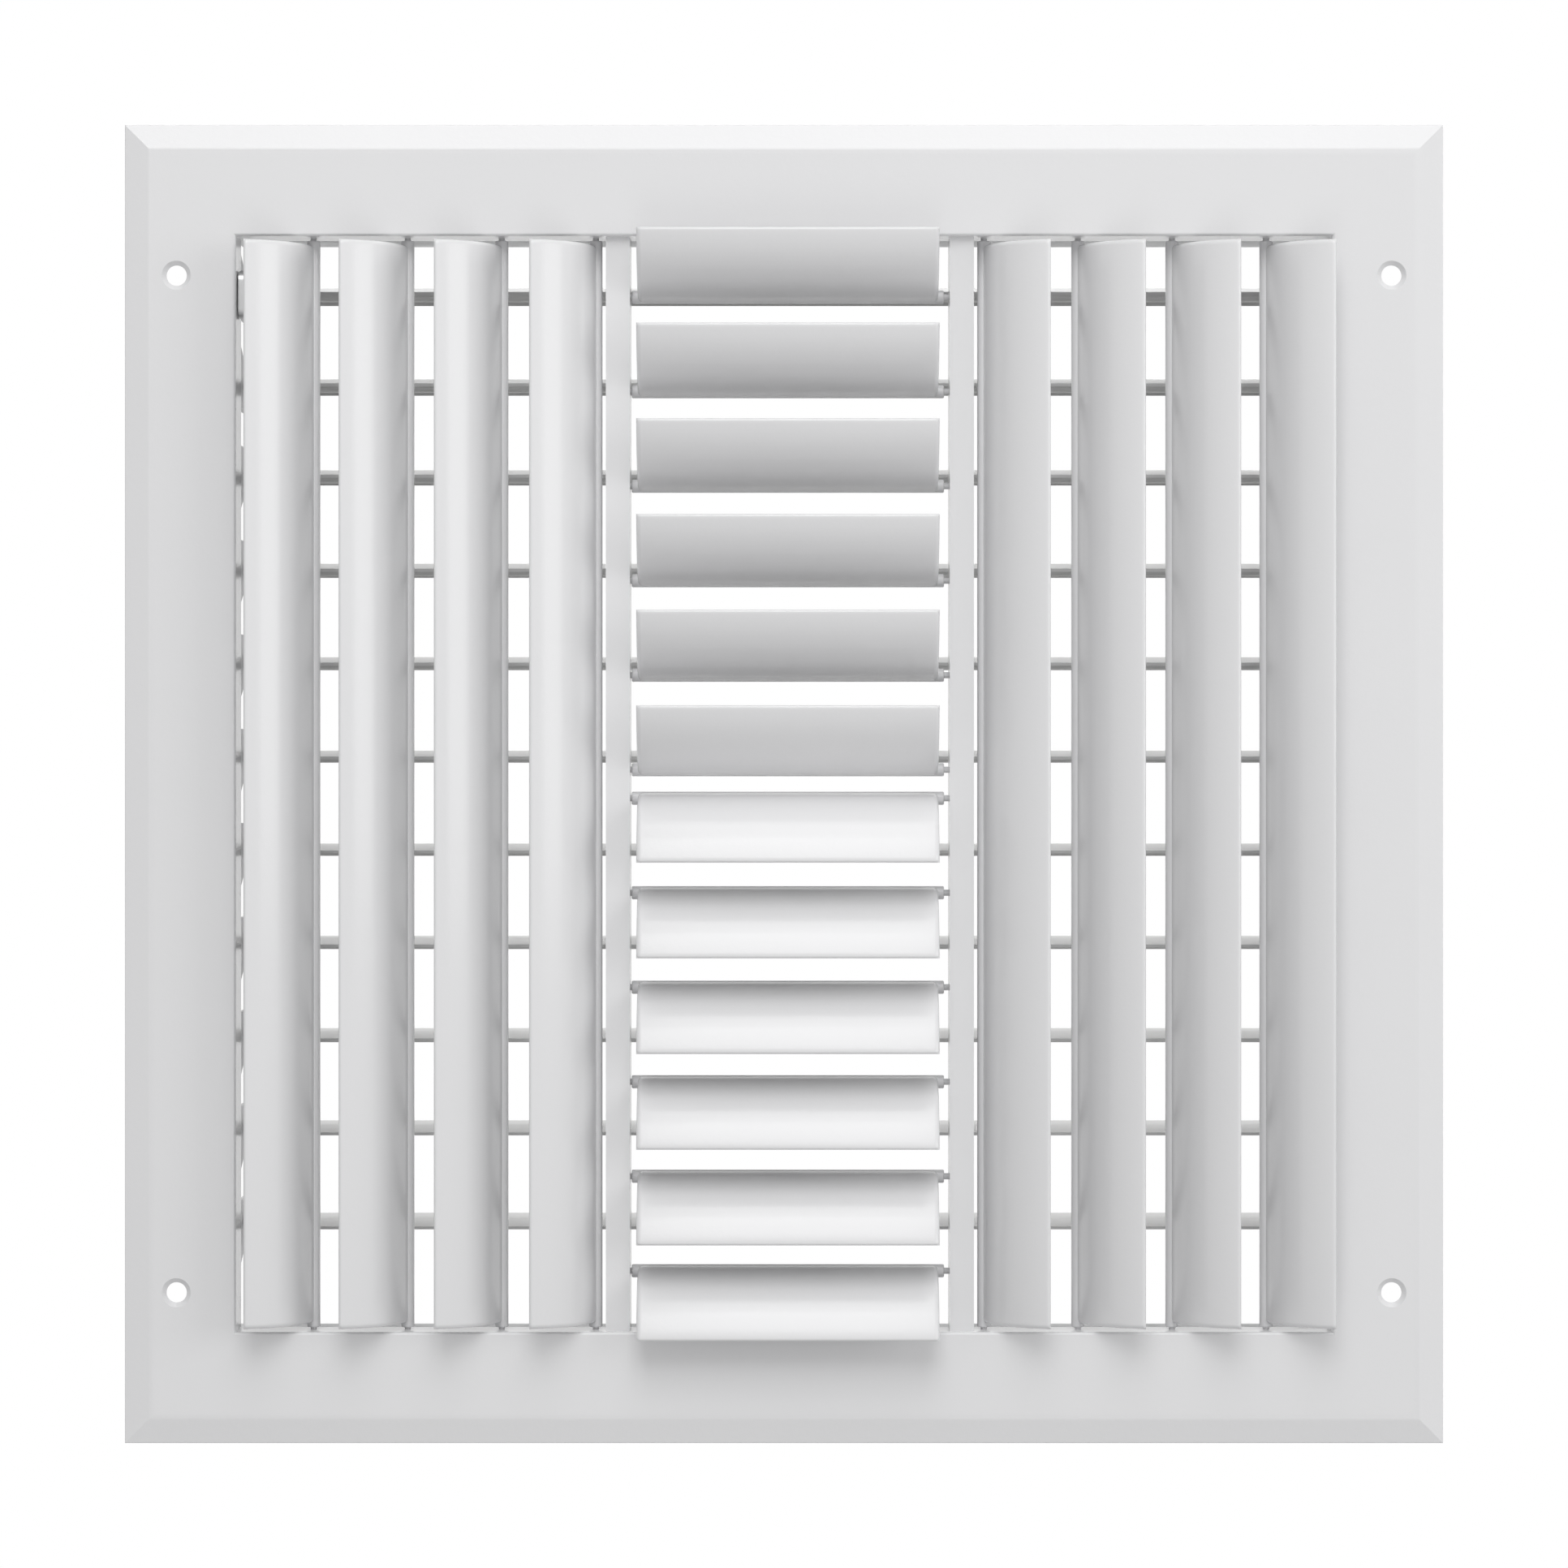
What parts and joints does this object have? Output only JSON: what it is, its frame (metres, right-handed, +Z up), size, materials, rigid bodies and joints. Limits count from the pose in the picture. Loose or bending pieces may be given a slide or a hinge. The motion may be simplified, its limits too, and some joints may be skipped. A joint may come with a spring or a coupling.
{
  "type": "vent register",
  "caption": "Square white supply register with a bevelled border, individually turning curved blades in three bays and a linked multi-shutter damper behind.",
  "frame": {"origin": "centre of the opening, on the wall's face, where the border's rim rests", "axes": "+X to the right seen from the room, +Y into the wall, +Z up; the face looks along -Y"},
  "size_m": [0.2984, 0.0706, 0.2984],
  "materials": {
    "white_coat": "white semi-gloss powder coat on aluminium",
    "shutter_metal": "pale coated aluminium",
    "rail_metal": "galvanised sheet",
    "link_metal": "zinc-plated steel"
  },
  "bodies": {
    "root": {"face_frame": "white_coat", "divider_left": "white_coat", "divider_right": "white_coat", "side_rail_left": "rail_metal", "side_rail_right": "rail_metal", "top_rail": "rail_metal", "bottom_rail": "rail_metal", "rail_rivets": "link_metal", "divider_rivets": "link_metal"},
    "upper_blade_1": {"upper_blade_1": "white_coat"},
    "upper_blade_2": {"upper_blade_2": "white_coat"},
    "upper_blade_3": {"upper_blade_3": "white_coat"},
    "upper_blade_4": {"upper_blade_4": "white_coat"},
    "upper_blade_5": {"upper_blade_5": "white_coat"},
    "upper_blade_6": {"upper_blade_6": "white_coat"},
    "lower_blade_1": {"lower_blade_1": "white_coat"},
    "lower_blade_2": {"lower_blade_2": "white_coat"},
    "lower_blade_3": {"lower_blade_3": "white_coat"},
    "lower_blade_4": {"lower_blade_4": "white_coat"},
    "lower_blade_5": {"lower_blade_5": "white_coat"},
    "lower_blade_6": {"lower_blade_6": "white_coat"},
    "left_blade_1": {"left_blade_1": "white_coat"},
    "left_blade_2": {"left_blade_2": "white_coat"},
    "left_blade_3": {"left_blade_3": "white_coat"},
    "left_blade_4": {"left_blade_4": "white_coat"},
    "right_blade_1": {"right_blade_1": "white_coat"},
    "right_blade_2": {"right_blade_2": "white_coat"},
    "right_blade_3": {"right_blade_3": "white_coat"},
    "right_blade_4": {"right_blade_4": "white_coat"},
    "damper_blade_01": {"damper_blade_01": "shutter_metal", "damper_lever": "link_metal"},
    "damper_blade_02": {"damper_blade_02": "shutter_metal"},
    "damper_blade_03": {"damper_blade_03": "shutter_metal"},
    "damper_blade_04": {"damper_blade_04": "shutter_metal"},
    "damper_blade_05": {"damper_blade_05": "shutter_metal"},
    "damper_blade_06": {"damper_blade_06": "shutter_metal"},
    "damper_blade_07": {"damper_blade_07": "shutter_metal"},
    "damper_blade_08": {"damper_blade_08": "shutter_metal"},
    "damper_blade_09": {"damper_blade_09": "shutter_metal"},
    "damper_blade_10": {"damper_blade_10": "shutter_metal"},
    "damper_blade_11": {"damper_blade_11": "shutter_metal"},
    "link_bar": {"link_bar": "link_metal"}
  },
  "joints": [
    {"name": "upper_blade_1_turn", "type": "hinge", "parent": "root", "child": "upper_blade_1", "pos_m": [0.00133, 0.0032, 0.00325], "axis": [1, 0, 0], "range_deg": [-25, 30]},
    {"name": "upper_blade_2_turn", "type": "hinge", "parent": "root", "child": "upper_blade_2", "pos_m": [0.00133, 0.0032, 0.02475], "axis": [1, 0, 0], "range_deg": [-25, 30]},
    {"name": "upper_blade_3_turn", "type": "hinge", "parent": "root", "child": "upper_blade_3", "pos_m": [0.00133, 0.0032, 0.04625], "axis": [1, 0, 0], "range_deg": [-25, 30]},
    {"name": "upper_blade_4_turn", "type": "hinge", "parent": "root", "child": "upper_blade_4", "pos_m": [0.00133, 0.0032, 0.06775], "axis": [1, 0, 0], "range_deg": [-25, 30]},
    {"name": "upper_blade_5_turn", "type": "hinge", "parent": "root", "child": "upper_blade_5", "pos_m": [0.00133, 0.0032, 0.08925], "axis": [1, 0, 0], "range_deg": [-25, 30]},
    {"name": "upper_blade_6_turn", "type": "hinge", "parent": "root", "child": "upper_blade_6", "pos_m": [0.00133, 0.0032, 0.11075], "axis": [1, 0, 0], "range_deg": [-25, 30]},
    {"name": "lower_blade_1_turn", "type": "hinge", "parent": "root", "child": "lower_blade_1", "pos_m": [0.00133, 0.0032, -0.00325], "axis": [-1, 0, 0], "range_deg": [-25, 30]},
    {"name": "lower_blade_2_turn", "type": "hinge", "parent": "root", "child": "lower_blade_2", "pos_m": [0.00133, 0.0032, -0.02475], "axis": [-1, 0, 0], "range_deg": [-25, 30]},
    {"name": "lower_blade_3_turn", "type": "hinge", "parent": "root", "child": "lower_blade_3", "pos_m": [0.00133, 0.0032, -0.04625], "axis": [-1, 0, 0], "range_deg": [-25, 30]},
    {"name": "lower_blade_4_turn", "type": "hinge", "parent": "root", "child": "lower_blade_4", "pos_m": [0.00133, 0.0032, -0.06775], "axis": [-1, 0, 0], "range_deg": [-25, 30]},
    {"name": "lower_blade_5_turn", "type": "hinge", "parent": "root", "child": "lower_blade_5", "pos_m": [0.00133, 0.0032, -0.08925], "axis": [-1, 0, 0], "range_deg": [-25, 30]},
    {"name": "lower_blade_6_turn", "type": "hinge", "parent": "root", "child": "lower_blade_6", "pos_m": [0.00133, 0.0032, -0.11075], "axis": [-1, 0, 0], "range_deg": [-25, 30]},
    {"name": "left_blade_1_turn", "type": "hinge", "parent": "root", "child": "left_blade_1", "pos_m": [-0.0428, 0.0032, 0], "axis": [0, 0, 1], "range_deg": [-25, 30]},
    {"name": "left_blade_2_turn", "type": "hinge", "parent": "root", "child": "left_blade_2", "pos_m": [-0.0642, 0.0032, 0], "axis": [0, 0, 1], "range_deg": [-25, 30]},
    {"name": "left_blade_3_turn", "type": "hinge", "parent": "root", "child": "left_blade_3", "pos_m": [-0.0856, 0.0032, 0], "axis": [0, 0, 1], "range_deg": [-25, 30]},
    {"name": "left_blade_4_turn", "type": "hinge", "parent": "root", "child": "left_blade_4", "pos_m": [-0.107, 0.0032, 0], "axis": [0, 0, 1], "range_deg": [-25, 30]},
    {"name": "right_blade_1_turn", "type": "hinge", "parent": "root", "child": "right_blade_1", "pos_m": [0.04546, 0.0032, 0], "axis": [0, 0, -1], "range_deg": [-25, 30]},
    {"name": "right_blade_2_turn", "type": "hinge", "parent": "root", "child": "right_blade_2", "pos_m": [0.06686, 0.0032, 0], "axis": [0, 0, -1], "range_deg": [-25, 30]},
    {"name": "right_blade_3_turn", "type": "hinge", "parent": "root", "child": "right_blade_3", "pos_m": [0.08826, 0.0032, 0], "axis": [0, 0, -1], "range_deg": [-25, 30]},
    {"name": "right_blade_4_turn", "type": "hinge", "parent": "root", "child": "right_blade_4", "pos_m": [0.10966, 0.0032, 0], "axis": [0, 0, -1], "range_deg": [-25, 30]},
    {"name": "damper_turn", "type": "hinge", "parent": "root", "child": "damper_blade_01", "pos_m": [0, 0.042, 0.1142], "axis": [1, 0, 0], "range_deg": [0, 72]},
    {"name": "damper_blade_02_turn", "type": "hinge", "parent": "root", "child": "damper_blade_02", "pos_m": [0, 0.042, 0.093], "axis": [1, 0, 0], "range_deg": [0, 72]},
    {"name": "damper_blade_03_turn", "type": "hinge", "parent": "root", "child": "damper_blade_03", "pos_m": [0, 0.042, 0.0718], "axis": [1, 0, 0], "range_deg": [0, 72]},
    {"name": "damper_blade_04_turn", "type": "hinge", "parent": "root", "child": "damper_blade_04", "pos_m": [0, 0.042, 0.04999], "axis": [1, 0, 0], "range_deg": [0, 72]},
    {"name": "damper_blade_05_turn", "type": "hinge", "parent": "root", "child": "damper_blade_05", "pos_m": [0, 0.042, 0.02818], "axis": [1, 0, 0], "range_deg": [0, 72]},
    {"name": "damper_blade_06_turn", "type": "hinge", "parent": "root", "child": "damper_blade_06", "pos_m": [0, 0.042, 0.00637], "axis": [1, 0, 0], "range_deg": [0, 72]},
    {"name": "damper_blade_07_turn", "type": "hinge", "parent": "root", "child": "damper_blade_07", "pos_m": [0, 0.042, -0.01544], "axis": [1, 0, 0], "range_deg": [0, 72]},
    {"name": "damper_blade_08_turn", "type": "hinge", "parent": "root", "child": "damper_blade_08", "pos_m": [0, 0.042, -0.03725], "axis": [1, 0, 0], "range_deg": [0, 72]},
    {"name": "damper_blade_09_turn", "type": "hinge", "parent": "root", "child": "damper_blade_09", "pos_m": [0, 0.042, -0.05906], "axis": [1, 0, 0], "range_deg": [0, 72]},
    {"name": "damper_blade_10_turn", "type": "hinge", "parent": "root", "child": "damper_blade_10", "pos_m": [0, 0.042, -0.08087], "axis": [1, 0, 0], "range_deg": [0, 72]},
    {"name": "damper_blade_11_turn", "type": "hinge", "parent": "root", "child": "damper_blade_11", "pos_m": [0, 0.042, -0.10268], "axis": [1, 0, 0], "range_deg": [0, 72]},
    {"name": "link_bar_turn", "type": "hinge", "parent": "damper_blade_01", "child": "link_bar", "pos_m": [-0.1244, 0.0525, 0.1142], "axis": [1, 0, 0], "range_deg": [-72, 0]}
  ],
  "couplings": [
    {"joint": "damper_blade_02_turn", "follows": "damper_turn", "ratio": 1},
    {"joint": "damper_blade_03_turn", "follows": "damper_turn", "ratio": 1},
    {"joint": "damper_blade_04_turn", "follows": "damper_turn", "ratio": 1},
    {"joint": "damper_blade_05_turn", "follows": "damper_turn", "ratio": 1},
    {"joint": "damper_blade_06_turn", "follows": "damper_turn", "ratio": 1},
    {"joint": "damper_blade_07_turn", "follows": "damper_turn", "ratio": 1},
    {"joint": "damper_blade_08_turn", "follows": "damper_turn", "ratio": 1},
    {"joint": "damper_blade_09_turn", "follows": "damper_turn", "ratio": 1},
    {"joint": "damper_blade_10_turn", "follows": "damper_turn", "ratio": 1},
    {"joint": "damper_blade_11_turn", "follows": "damper_turn", "ratio": 1},
    {"joint": "link_bar_turn", "follows": "damper_turn", "ratio": -1}
  ]
}
